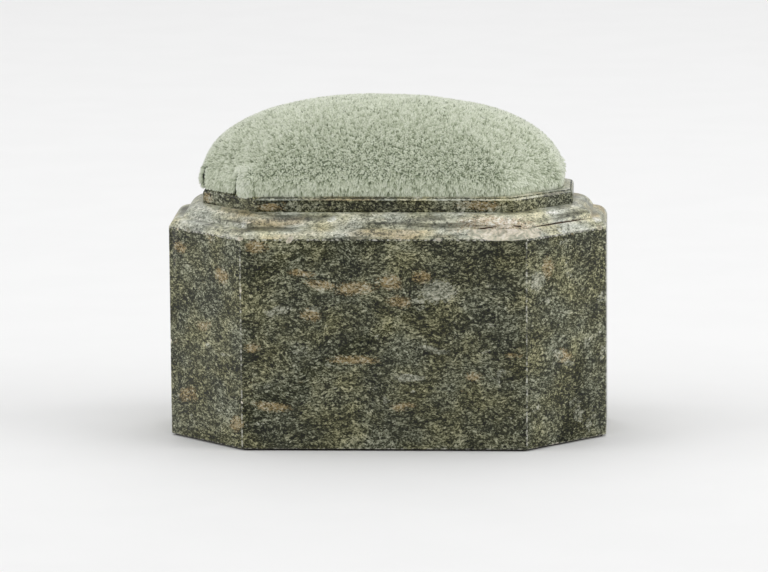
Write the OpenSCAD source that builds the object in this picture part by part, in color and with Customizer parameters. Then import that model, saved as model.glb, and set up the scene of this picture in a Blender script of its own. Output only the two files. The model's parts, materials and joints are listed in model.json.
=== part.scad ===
// Stone pin cushion: a heavy polished block with cut corners and a moulded shoulder.
// A padded, velvet-covered board is glued into a shallow recess inside its collar.
// +Z is up, +X runs along the length, the front faces -Y, and the origin is the
// middle of the underside of the felt. All sizes are in millimetres.

/* [Block] */
// Length of the block over its upright end faces
block_w = 130; // [105:1:170]
// Depth of the block over its upright front and back faces
block_d = 74; // [60:1:110]
// Height of the upright faces, above the felt
upright_h = 62.4; // [30:0.2:90]
// How far each upright corner is cut back along both faces
corner_cut = 23; // [16:0.5:28]

/* [Shoulder moulding] */
// Run of the lower round, inwards from the upright face
lower_round_run = 3.6; // [2:0.1:5]
// Rise of the lower round
lower_round_rise = 2.7; // [1.5:0.1:4]
// Angle that the lower round turns through
lower_round_sweep = 70; // [50:1:72]
// Flat step between the two rounds
round_step = 0.5; // [0.2:0.1:1]
// Run of the upper round
upper_round_run = 5.4; // [3:0.1:7]
// Rise of the upper round
upper_round_rise = 3.9; // [2:0.1:5]
// Angle that the upper round turns through
upper_round_sweep = 62; // [45:1:70]
// Flat step between the upper round and the collar
collar_step = 0.5; // [0.2:0.1:1]

/* [Collar and recess] */
// Height of the collar above the moulding
collar_h = 4.4; // [3:0.1:6]
// Radius of the collar's rounded outer edge
collar_round_r = 1.5; // [0.5:0.1:2]
// Width of the rim between the collar's face and the recess
rim_w = 3; // [2.5:0.1:4]

/* [Felt] */
// Thickness of the felt under the block
felt_t = 0.6; // [0.4:0.1:2]
// How far the felt's edge stays inside the upright faces
felt_inset = 1.2; // [0.5:0.1:3]

/* [Cushion] */
// Thickness of the wooden board
board_t = 3; // [2.4:0.1:6]
// Thickness of the bed of glue under the turned-in velvet
glue_t = 1.1; // [0.8:0.1:3]
// Side gap between the wrapped board and the recess wall
seat_clearance = 2.2; // [1:0.1:3]
// Height of the cushion's crown above the top of the collar
crown_h = 27; // [15:0.5:40]
// How far the cushion's swell stops inside the line of the collar's face
swell_inset = 0.4; // [0:0.1:2]
// Fullness of the cushion's section: 2 is an ellipse, more is squarer
fullness = 2.4; // [2:0.1:3.5]
// Thickness of the velvet over the stuffing, backing and pile together
velvet_t = 2.3; // [1.5:0.1:3]
// Thickness of the velvet where its pile is crushed against the board
velvet_crushed_t = 0.9; // [0.6:0.1:1.2]
// How far the velvet is turned in under the board
velvet_turn = 8; // [6:0.5:9]
// Thickness of the calico lining
calico_t = 0.35; // [0.2:0.05:0.6]
// How far the calico is turned in under the board
calico_turn = 13; // [11:0.5:15]

/* [Tacks] */
// Diameter of a tack's head
tack_head_d = 3.2; // [2:0.1:3.6]
// Thickness of a tack's head
tack_head_t = 0.5; // [0.3:0.1:0.7]
// Diameter of a tack's shank
tack_shank_d = 1; // [0.6:0.1:1.4]
// How far a tack's shank is driven into the board
tack_bite = 1.8; // [1:0.1:2.2]
// Tacks along each long side of the board, in each row
tacks_per_long_side = 4; // [3:1:5]

/* [Hidden] */

// Gap left between soft pieces that touch, and between them and the stone
touch_gap = 0.05;
rest_gap = 0.25;
// The cushion is glued in against the recess's wall at the -X end
cushion_shift = seat_clearance - rest_gap;

// Heights, from the table up
arris_z = felt_t + upright_h;
shoulder_h = lower_round_rise + upper_round_rise;
collar_top_z = arris_z + shoulder_h + collar_h;

// Insets from the upright faces, from the outside in
collar_inset = lower_round_run + round_step + upper_round_run + collar_step;
recess_inset = collar_inset + rim_w;
wrap_inset = recess_inset + seat_clearance;
calico_inset = wrap_inset + velvet_crushed_t + touch_gap;
board_inset = calico_inset + calico_t + touch_gap;
swell_edge_inset = collar_inset + swell_inset;

// The stack inside the recess: glue, velvet turned under, calico turned under, board
board_top_z = collar_top_z - touch_gap;
board_base_z = board_top_z - board_t;
calico_base_z = board_base_z - touch_gap - calico_t;
velvet_base_z = calico_base_z - touch_gap - velvet_crushed_t;
recess_floor_z = velvet_base_z - glue_t;

// Rows of tacks, as insets from the upright faces
cover_tack_inset = wrap_inset + velvet_turn * 0.55;
lining_tack_inset = wrap_inset + (velvet_turn + calico_turn) / 2;

// Fineness of the rounds in the stone and of the rings in the cloth
round_steps = 8;
arc_steps = 3;
side_steps = 5;
dome_steps = 9;
overcut = 1;

// Rounding of the corners of the board and of the cloth around it, seen from above
wrap_corner_r = 2.5;
// What is left of a side that an inset would close up
least_side = 0.4;
// Height of the tucked-under lower edge of the swell
swell_tuck_h = 2.4;
// How far the tucked-under edge draws in
swell_tuck_in = 1.3;

// ---- Outlines -------------------------------------------------------------

// Half sizes of the block's outline, moved in by an inset; an inset shortens
// a 45 degree cut by 2 - sqrt(2) of itself.
function half_w(inset) = block_w / 2 - inset;
function half_d(inset) = block_d / 2 - inset;
function cut_at(inset) = corner_cut - inset * (2 - sqrt(2));

// The eight corners, anticlockwise from the +X end. Corner k lies between the
// faces whose normals point at 45k and 45(k + 1) degrees. A cut lies on the line
// x + y = reach, so a side that would close up leaves the cuts where they are.
function corners(inset) =
    let (c = cut_at(inset), reach = half_w(inset) + half_d(inset) - c,
         front = max(half_w(inset) - c, least_side), end = max(half_d(inset) - c, least_side),
         x = reach - end, y = reach - front)
    [[x, end], [front, y], [-front, y], [-x, end],
     [-x, -end], [-front, -y], [front, -y], [x, -end]];

// The same outline with its corners rounded, as one closed ring of points.
function rounded_outline(inset, r) =
    let (centres = corners(inset + r))
    [for (k = [0:7])
        let (here = centres[k], next = centres[(k + 1) % 8], end_angle = 45 * (k + 1))
        for (i = [0:arc_steps + side_steps - 1])
            i <= arc_steps
                ? here + r * [cos(45 * k + 45 * i / arc_steps), sin(45 * k + 45 * i / arc_steps)]
                : here + (next - here) * (i - arc_steps) / side_steps
                    + r * [cos(end_angle), sin(end_angle)]];

module block_outline(inset) {
    polygon(corners(inset));
}

module wrap_outline(inset) {
    polygon(rounded_outline(inset, wrap_corner_r));
}

// ---- Stone ----------------------------------------------------------------

// Points of an arc that starts at [0, 0], ends at [run, rise] and turns through sweep.
function arc_points(run, rise, sweep) =
    let (chord = norm([run, rise]), middle = atan2(rise, run),
         r = chord / (2 * sin(sweep / 2)), start = middle + sweep / 2)
    [for (i = [0:round_steps])
        let (tangent = start - sweep * i / round_steps)
        r * [sin(start) - sin(tangent), cos(tangent) - cos(start)]];

// The stone's section as [inset, height] points, from its underside to the rim.
function stone_section() =
    let (step_at = lower_round_run + round_step, step_z = arris_z + lower_round_rise)
    concat(
        [[0, felt_t]],
        [for (p = arc_points(lower_round_run, lower_round_rise, lower_round_sweep)) p + [0, arris_z]],
        [for (p = arc_points(upper_round_run, upper_round_rise, upper_round_sweep)) p + [step_at, step_z]],
        [[collar_inset, arris_z + shoulder_h]],
        [for (i = [0:round_steps])
            [collar_inset, collar_top_z - collar_round_r]
                + collar_round_r * [1 - cos(90 * i / round_steps), sin(90 * i / round_steps)]]);

// The section drawn both ways from the middle and run straight through the block.
module section_run(half_width) {
    side = stone_section();
    last = len(side) - 1;
    right = [for (p = side) [half_width - p[0], p[1]]];
    left = [for (i = [last:-1:0]) [side[i][0] - half_width, side[i][1]]];
    rotate([90, 0, 0])
        linear_extrude(height = 2 * (block_w + block_d), center = true)
            polygon(concat(right, left));
}

module stone_block() {
    half_diagonal = (half_w(0) + half_d(0) - corner_cut) / sqrt(2);
    color("darkolivegreen")
        difference() {
            intersection() {
                section_run(half_w(0));
                rotate([0, 0, 90]) section_run(half_d(0));
                rotate([0, 0, 45]) section_run(half_diagonal);
                rotate([0, 0, -45]) section_run(half_diagonal);
            }
            translate([0, 0, recess_floor_z])
                linear_extrude(height = collar_top_z - recess_floor_z + overcut)
                    block_outline(recess_inset);
        }
}

module base_felt() {
    color("#2b2622")
        linear_extrude(height = felt_t)
            block_outline(felt_inset);
}

// ---- Cushion --------------------------------------------------------------

// Everything glued in with the board sits a little towards the -X end.
module on_cushion() {
    translate([-cushion_shift, 0, 0])
        children();
}

module cushion_board() {
    color("burlywood")
        on_cushion()
            translate([0, 0, board_base_z])
                linear_extrude(height = board_t)
                    wrap_outline(board_inset);
}

// A ring of cloth: an outline at an inset, shrunk by a share of its size and
// eased towards an oval, at a height.
function cloth_ring(inset, share, oval, z) =
    let (w = half_w(inset), d = half_d(inset))
    [for (p = rounded_outline(inset, wrap_corner_r))
        let (angle = atan2(p[1] / d, p[0] / w),
             round_p = [w * cos(angle), d * sin(angle)],
             q = share * (p * (1 - oval) + round_p * oval))
        [q[0], q[1], z]];

// The rings of a dome from near its crown down to its widest line, which lies
// at z. A step up the side moves the outline from the block's shape to an oval.
function dome_rings(inset, z, rise) =
    [for (i = [1:dome_steps])
        let (u = 90 * (1 - i / dome_steps))
        cloth_ring(inset, pow(cos(u), 2 / fullness), pow(sin(u), 1.2), z + rise * pow(sin(u), 2 / fullness))];

function reversed(list) = [for (i = [len(list) - 1:-1:0]) list[i]];

// A closed skin over a list of rings, with a point at each end. From ring
// turn_at on, the rings run back along the inside and the facets are split the
// other way, so that an inner face has the same facets as the outer face of the
// layer under it.
module skin(first_point, rings, last_point, turn_at) {
    count = len(rings[0]);
    last_ring = len(rings) - 1;
    points = concat([first_point], [for (ring = rings) each ring], [last_point]);
    end = len(points) - 1;
    function at(ring, k) = 1 + ring * count + k % count;
    function facets(a, b, c, d, inside) = inside ? [[a, b, d], [a, d, c]] : [[a, b, c], [b, d, c]];
    first_cap = [for (k = [0:count - 1]) [0, at(0, k + 1), at(0, k)]];
    bands = [for (ring = [0:last_ring - 1]) for (k = [0:count - 1])
        each facets(at(ring, k), at(ring, k + 1), at(ring + 1, k), at(ring + 1, k + 1), ring >= turn_at)];
    last_cap = [for (k = [0:count - 1]) [end, at(last_ring, k), at(last_ring, k + 1)]];
    polyhedron(points = points, faces = concat(first_cap, bands, last_cap), convexity = 6);
}

// Heights and insets of the surfaces above the rim, counted inwards from the pile.
swell_base_z = collar_top_z + rest_gap;
swell_z = swell_base_z + swell_tuck_h;
crown_z = collar_top_z + crown_h;
function layer_inset(depth) = swell_edge_inset + depth;
calico_depth = velvet_t + touch_gap;
stuffing_depth = calico_depth + calico_t + touch_gap;
calico_sill_z = swell_base_z + velvet_crushed_t + touch_gap;
stuffing_sill_z = calico_sill_z + calico_t + touch_gap;

// One wrapped cloth: over the dome, in over the rim, down the board's edge and
// turned in under the board, then back along its inner face.
module wrapped_cloth(depth, thick_above, thick_below, tuck, inset, base_z, sill_z, turn) {
    outer = layer_inset(depth);
    inner = outer + thick_above;
    outer_rise = crown_z - depth - swell_z;
    inner_rise = outer_rise - thick_above;
    over = concat(
        dome_rings(outer, swell_z, outer_rise),
        [cloth_ring(outer + tuck * 0.25, 1, 0, (swell_z + sill_z) / 2),
         cloth_ring(outer + tuck, 1, 0, sill_z),
         cloth_ring(inset, 1, 0, sill_z),
         cloth_ring(inset, 1, 0, base_z),
         cloth_ring(inset + turn, 1, 0, base_z)]);
    under = concat(
        dome_rings(inner, swell_z, inner_rise),
        [cloth_ring(inner, 1, 0, sill_z + thick_below),
         cloth_ring(inset + thick_below, 1, 0, sill_z + thick_below),
         cloth_ring(inset + thick_below, 1, 0, base_z + thick_below),
         cloth_ring(inset + turn, 1, 0, base_z + thick_below)]);
    skin([0, 0, swell_z + outer_rise], concat(over, reversed(under)), [0, 0, swell_z + inner_rise], len(over));
}

module velvet_cover() {
    color("#b3bfa5")
        on_cushion()
            wrapped_cloth(0, velvet_t, velvet_crushed_t, swell_tuck_in,
                wrap_inset, velvet_base_z, swell_base_z, velvet_turn);
}

module calico_lining() {
    color("#e6dcc4")
        on_cushion()
            wrapped_cloth(calico_depth, calico_t, calico_t, 0,
                calico_inset, calico_base_z, calico_sill_z, calico_turn);
}

module stuffing() {
    outer = layer_inset(stuffing_depth);
    base_inset = board_inset + touch_gap;
    rise = crown_z - stuffing_depth - swell_z;
    rings = concat(
        dome_rings(outer, swell_z, rise),
        [cloth_ring(outer, 1, 0, stuffing_sill_z),
         cloth_ring(base_inset, 1, 0, stuffing_sill_z),
         cloth_ring(base_inset, 1, 0, board_top_z + touch_gap)]);
    color("#d8c9a3")
        on_cushion()
            skin([0, 0, swell_z + rise], rings, [0, 0, board_top_z + touch_gap], len(rings));
}

// ---- Tacks and glue -------------------------------------------------------

// Where a row of tacks goes: spread along the long sides, and one in the middle
// of each end and each cut corner.
function tack_row(inset) =
    let (c = corners(inset), gaps = tacks_per_long_side + 1)
    concat(
        [for (side = [[1, 2], [5, 6]]) for (i = [1:tacks_per_long_side])
            c[side[0]] + (c[side[1]] - c[side[0]]) * i / gaps],
        [for (k = [0, 2, 3, 4, 6, 7]) (c[k] + c[(k + 1) % 8]) / 2]);

// Tacks driven up through cloth that has its underside at z.
module tacks(inset, z) {
    shank_top = board_base_z + tack_bite;
    for (p = tack_row(inset))
        translate([p[0], p[1], z - tack_head_t])
            union() {
                cylinder(h = tack_head_t, d = tack_head_d, $fn = 32);
                cylinder(h = shank_top - z + tack_head_t, d = tack_shank_d, $fn = 24);
            }
}

module cover_tacks() {
    color("#4a4a4e")
        on_cushion()
            tacks(cover_tack_inset, velvet_base_z);
}

module lining_tacks() {
    color("#4a4a4e")
        on_cushion()
            tacks(lining_tack_inset, calico_base_z);
}

// The pocket that a tack's head leaves in the glue.
module head_pockets(inset, z) {
    for (p = tack_row(inset))
        translate([p[0], p[1], z - tack_head_t - touch_gap])
            cylinder(h = tack_head_t + overcut, d = tack_head_d + 2 * touch_gap, $fn = 32);
}

module glue_bed() {
    pad_inset = wrap_inset + velvet_turn + 2 * touch_gap;
    color("#a9782e")
        on_cushion()
            difference() {
                union() {
                    translate([0, 0, recess_floor_z])
                        linear_extrude(height = glue_t)
                            wrap_outline(wrap_inset + rest_gap);
                    translate([0, 0, recess_floor_z])
                        linear_extrude(height = calico_base_z - recess_floor_z)
                            wrap_outline(pad_inset);
                }
                head_pockets(cover_tack_inset, velvet_base_z);
                head_pockets(lining_tack_inset, calico_base_z);
            }
}

base_felt();
stone_block();
glue_bed();
cushion_board();
calico_lining();
lining_tacks();
velvet_cover();
cover_tacks();
stuffing();
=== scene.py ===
import json
import math
import random

import bmesh
import bpy
import numpy as np
from mathutils import Euler, Matrix, Vector, noise
from mathutils.kdtree import KDTree

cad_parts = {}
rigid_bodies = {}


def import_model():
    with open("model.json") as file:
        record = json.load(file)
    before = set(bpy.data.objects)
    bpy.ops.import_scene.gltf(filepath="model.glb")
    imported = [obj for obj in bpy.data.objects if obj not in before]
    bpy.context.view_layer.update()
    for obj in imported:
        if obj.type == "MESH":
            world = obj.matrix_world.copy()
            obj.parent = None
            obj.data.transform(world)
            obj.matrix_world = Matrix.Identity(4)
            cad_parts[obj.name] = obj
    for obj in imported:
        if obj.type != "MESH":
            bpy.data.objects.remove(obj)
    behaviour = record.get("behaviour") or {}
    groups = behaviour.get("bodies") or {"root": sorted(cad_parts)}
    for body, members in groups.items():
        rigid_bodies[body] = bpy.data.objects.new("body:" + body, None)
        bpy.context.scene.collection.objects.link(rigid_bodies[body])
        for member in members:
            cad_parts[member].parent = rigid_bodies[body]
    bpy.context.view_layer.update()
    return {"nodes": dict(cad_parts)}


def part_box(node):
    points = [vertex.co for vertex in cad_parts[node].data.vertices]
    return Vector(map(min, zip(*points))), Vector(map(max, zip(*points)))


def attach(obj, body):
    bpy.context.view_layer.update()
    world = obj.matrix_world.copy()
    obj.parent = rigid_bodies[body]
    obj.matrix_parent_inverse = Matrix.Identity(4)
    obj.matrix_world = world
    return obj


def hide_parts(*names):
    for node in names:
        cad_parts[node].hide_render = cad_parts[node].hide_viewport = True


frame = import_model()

bl_info = {
    "name": "Stone pin cushion",
    "version": (1, 0, 0),
    "blender": (4, 5, 0),
    "location": "3D View > Sidebar > Pin cushion",
    "description": "A polished granite block with a plush cushion set in its top",
    "category": "Add Mesh",
}

# The block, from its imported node, and the stations of its moulding, in metres.
STONE_LOW, STONE_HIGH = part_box("stone_block")
HALF_W, HALF_D = STONE_HIGH.x, STONE_HIGH.y
STONE_BASE, COLLAR_TOP = STONE_LOW.z, STONE_HIGH.z
CORNER_CUT = 0.023
ARRIS_Z = 0.063

# The cushion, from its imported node. It sits a little towards the -X end.
COVER_LOW, COVER_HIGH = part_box("velvet_cover")
CUSHION_X = (COVER_LOW.x + COVER_HIGH.x) / 2
CROWN_LIFT = 0.0004
CROWN_Z = COVER_HIGH.z + CROWN_LIFT
SWELL_INSET = HALF_D - COVER_HIGH.y
SWELL_Z = COLLAR_TOP + 0.00265
SILL_Z = COLLAR_TOP + 0.00025
WRAP_INSET = 0.0152
FULLNESS = 2.15
CORNER_ROUND = 0.0025

# The block's materials, in the order of its slots; the last is painted shade for the dark lines in the grooves.
# The honed slot also paints the highlight along the collar's rim and the reflection on its flat top.
POLISHED, BRUISED, BROKEN, HONED_AND_HIGHLIGHT, CRACK_SHADE = range(5)

# The point that the camera looks at, near the middle of the object.
VIEW_CENTRE = (-0.0018, 0, 0.0429)


# ---- Common helpers --------------------------------------------------------

def linear(hex_colour):
    """An sRGB hex colour as linear red, green, blue and alpha."""
    channels = [int(hex_colour[i:i + 2], 16) / 255 for i in (1, 3, 5)]
    return [c / 12.92 if c <= 0.04045 else ((c + 0.055) / 1.055) ** 2.4 for c in channels] + [1.0]


def add_node(tree, kind, links=None, stops=(), **settings):
    """Adds a shader node and its settings, and fills its sockets with values or other nodes' outputs."""
    made = tree.nodes.new("ShaderNode" + kind)
    for name, value in settings.items():
        setattr(made, name, value)
    for socket, value in (links or {}).items():
        if isinstance(value, bpy.types.NodeSocket):
            tree.links.new(value, made.inputs[socket])
        else:
            made.inputs[socket].default_value = value
    if stops:
        ramp = made.color_ramp
        while len(ramp.elements) < len(stops):
            ramp.elements.new(1.0)
        for element, (position, colour) in zip(ramp.elements, stops):
            element.position, element.color = position, linear(colour)
    return made


def new_material(name):
    """An empty node material, with its tree, its shader and its coordinates in millimetres."""
    material = bpy.data.materials.new(name)
    material.use_nodes = True
    tree = material.node_tree
    tree.nodes.clear()
    shader = add_node(tree, "BsdfPrincipled")
    add_node(tree, "OutputMaterial", {"Surface": shader.outputs[0]})
    place = add_node(tree, "TexCoord").outputs["Object"]
    in_mm = add_node(tree, "VectorMath", {0: place, "Scale": 1000.0}, operation="SCALE").outputs[0]
    return material, tree, shader, in_mm


def finish_shader(tree, shader, colour, height=None, relief=0.0001, strength=0.5, **values):
    """Links colour and bump to a shader, and sets its constant sockets."""
    tree.links.new(colour, shader.inputs["Base Color"])
    if height is not None:
        bump = add_node(tree, "Bump", {"Height": height, "Distance": relief, "Strength": strength})
        tree.links.new(bump.outputs[0], shader.inputs["Normal"])
    for name, value in values.items():
        shader.inputs[name.replace("_", " ")].default_value = value


def deselect_all():
    """Leaves no object selected or active, so that an operator acts only on the next piece."""
    if bpy.context.object and bpy.context.object.mode != "OBJECT":
        bpy.ops.object.mode_set(mode="OBJECT")
    for piece in list(bpy.context.view_layer.objects):
        piece.select_set(False)


def make_active(piece):
    """Selects one object and nothing else."""
    deselect_all()
    piece.select_set(True)
    bpy.context.view_layer.objects.active = piece


def apply_modifier(piece, kind, **settings):
    """Adds a modifier with its settings and applies it."""
    make_active(piece)
    modifier = piece.modifiers.new(kind.title(), kind)
    for name, value in settings.items():
        setattr(modifier, name, value)
    bpy.ops.object.modifier_apply(modifier=modifier.name)


def select_edges(piece, wanted):
    """Goes into edit mode with only those edges selected for which wanted(start, end, its faces) is true."""
    make_active(piece)
    bpy.ops.object.mode_set(mode="EDIT")
    bpy.ops.mesh.select_mode(type="EDGE")
    bpy.ops.mesh.select_all(action="DESELECT")
    mesh = bmesh.from_edit_mesh(piece.data)
    count = 0
    for edge in mesh.edges:
        if wanted(edge.verts[0].co, edge.verts[1].co, edge.link_faces):
            edge.select_set(True)
            count += 1
    mesh.select_flush_mode()
    bmesh.update_edit_mesh(piece.data)
    if not count:
        raise RuntimeError(f"no edges were found on {piece.name}")


def merged_copy(node_name, name):
    """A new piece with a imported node's shape, its loose triangles merged and its flat faces made whole."""
    piece = bpy.data.objects.new(name, frame["nodes"][node_name].data.copy())
    bpy.context.scene.collection.objects.link(piece)
    piece.data.name = name
    piece.data.materials.clear()
    make_active(piece)
    bpy.ops.object.mode_set(mode="EDIT")
    bpy.ops.mesh.select_all(action="SELECT")
    bpy.ops.mesh.remove_doubles(threshold=2e-6)
    bpy.ops.mesh.dissolve_degenerate(threshold=1e-6)
    bpy.ops.mesh.dissolve_limited(angle_limit=math.radians(0.5))
    bpy.ops.object.mode_set(mode="OBJECT")
    return piece


def dress_node(node_name, material):
    """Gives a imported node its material."""
    node = frame["nodes"][node_name]
    node.data.materials.clear()
    node.data.materials.append(material)


def mesh_piece(name, points, faces):
    """A new smooth piece from points and faces."""
    mesh = bpy.data.meshes.new(name)
    mesh.from_pydata([tuple(p) for p in points], [], [tuple(f) for f in faces])
    mesh.validate()
    for polygon in mesh.polygons:
        polygon.use_smooth = True
    piece = bpy.data.objects.new(name, mesh)
    bpy.context.scene.collection.objects.link(piece)
    return piece


# ---- Settings --------------------------------------------------------------

class StoneSettings(bpy.types.PropertyGroup):
    """Sizes and colours of the stone block and the felt under it"""
    arris_round: bpy.props.FloatProperty(
        name="Arris rounding", description="Width of the worn rounding along the stone's edges",
        default=0.00026, min=0.0001, max=0.001, precision=5, unit="LENGTH")
    small_chips: bpy.props.IntProperty(
        name="Small chips", description="Number of small chips knocked off the edges",
        default=16, min=0, max=60)
    dark_mineral: bpy.props.StringProperty(
        name="Dark mineral", description="Colour of the dark hornblende grains, as sRGB hex",
        default="#0B0D08")
    green_mineral: bpy.props.StringProperty(
        name="Green mineral", description="Colour of the green-grey ground, as sRGB hex", default="#454737")
    light_mineral: bpy.props.StringProperty(
        name="Light mineral", description="Colour of the light grey-green grains, as sRGB hex",
        default="#9B9D89")
    feldspar: bpy.props.StringProperty(
        name="Feldspar", description="Colour of the tan feldspar patches, as sRGB hex", default="#A18C5E")
    quartz: bpy.props.StringProperty(
        name="Quartz", description="Colour of the pale quartz patches, as sRGB hex", default="#C9C8BA")


class CushionSettings(bpy.types.PropertyGroup):
    """Sizes and colours of the cushion"""
    pile_length: bpy.props.FloatProperty(
        name="Pile length", description="Length of the plush pile", default=0.0017,
        min=0.001, max=0.004, precision=4, unit="LENGTH")
    tuft_width: bpy.props.FloatProperty(
        name="Tuft width", description="Width of one tuft at its root", default=0.00056,
        min=0.0002, max=0.0008, precision=5, unit="LENGTH")
    tuft_count: bpy.props.IntProperty(
        name="Tufts", description="Number of tufts over the whole cushion",
        default=74000, min=5000, max=78000)
    clump_pitch: bpy.props.FloatProperty(
        name="Clump pitch", description="Distance between the clumps that the tufts lean into",
        default=0.0009, min=0.0005, max=0.003, precision=4,
        unit="LENGTH")
    puff: bpy.props.FloatProperty(
        name="Puff", description="Furthest that the stuffing pushes the cover out", default=0.0010,
        min=0.0, max=0.002, precision=4, unit="LENGTH")
    # The root colour is painted shade: the pile darkens towards its roots as if shaded between the tufts.
    pile_root_shade: bpy.props.StringProperty(
        name="Pile root", description="Colour of the pile at its roots, as sRGB hex", default="#98A289")
    pile_tip: bpy.props.StringProperty(
        name="Pile tip", description="Colour of the pile at its tips, as sRGB hex", default="#E9EDDD")


class StageSettings(bpy.types.PropertyGroup):
    """The camera, the floor and the lights"""
    distance: bpy.props.FloatProperty(
        name="Camera distance", description="Distance from the camera to the middle of the block",
        default=1.5, min=0.5, max=5.0, unit="LENGTH")
    focal_length: bpy.props.FloatProperty(
        name="Focal length", description="Focal length of the lens, in millimetres",
        default=234.3, min=35, max=300)
    azimuth: bpy.props.FloatProperty(
        name="Azimuth", description="Turn of the camera round the block",
        default=math.radians(3.15), subtype="ANGLE")
    elevation: bpy.props.FloatProperty(
        name="Elevation", description="Height of the camera above the table, as an angle",
        default=math.radians(9.91), subtype="ANGLE")
    roll: bpy.props.FloatProperty(
        name="Roll", description="Tilt of the camera", default=math.radians(-0.446), subtype="ANGLE")
    overhead: bpy.props.FloatProperty(
        name="Overhead light", description="Power of the large overhead softbox, in watts",
        default=33.5, min=0)
    key: bpy.props.FloatProperty(
        name="Key light", description="Power of the softbox close above the cushion, in watts",
        default=0.2, min=0)
    left: bpy.props.FloatProperty(
        name="Left light", description="Power of the left softbox, in watts", default=9.5, min=0)
    right: bpy.props.FloatProperty(
        name="Right light", description="Power of the right softbox, in watts", default=12.5, min=0)
    surroundings: bpy.props.FloatProperty(
        name="Surroundings", description="Strength of the light from the white room", default=0.37, min=0)
    floor_colour: bpy.props.StringProperty(
        name="Floor colour", description="Colour of the floor, as sRGB hex", default="#EEEEEE")


# ---- Materials -------------------------------------------------------------

# Places on the block's faces where tan feldspar or pale quartz shows in a patch, in millimetres:
# x, y, z of the middle, half length and half height.
PATCHES = {
    "feldspar": (
        (-8, -37, 49, 7, 2.4), (2, -37, 50.5, 4, 2.5), (11, -37, 52.5, 3, 2), (5, -37, 45, 4.5, 2.2),
        (-21, -37, 41, 3, 2.2), (-39, -37, 31, 3, 1.8), (-37, -36, 61.5, 4, 2.2), (-9, -37, 27.5, 8, 1.5),
        (26, -37, 22, 2.6, 1.6), (6, -37, 13.5, 4.5, 1.3), (-33, -37, 13.5, 6, 1.5), (-60, -20, 13, 5, 2.5),
        (-55, -26, 36, 4, 2), (-61, -18, 58, 3, 2), (-48, -31, 51, 3.5, 2.5), (-44, -35, 8, 3, 2.5),
        (48, -32, 53, 2, 4), (53, -27, 27, 3.5, 2), (33, -31, 66.5, 14, 2.6), (-30, 37, 30, 9, 3),
        (40, 37, 18, 6, 2), (65, 2, 40, 5, 3), (27, -27, 71.5, 7, 1.8), (-34, -27, 71, 4.5, 1.3),
        (-54, -12, 71, 2.5, 2), (-19, -36, 50, 5, 1.6), (-24, -37, 53, 4, 1.2),
    ),
    "quartz": (
        (16, -37, 48, 6, 4), (15, -37, 30.5, 5, 1.1), (8, -37, 22.5, 5, 1), (45, -34, 50, 3, 3),
        (22, 37, 44, 8, 3), (-65, 3, 25, 5, 3),
    ),
}


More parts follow.
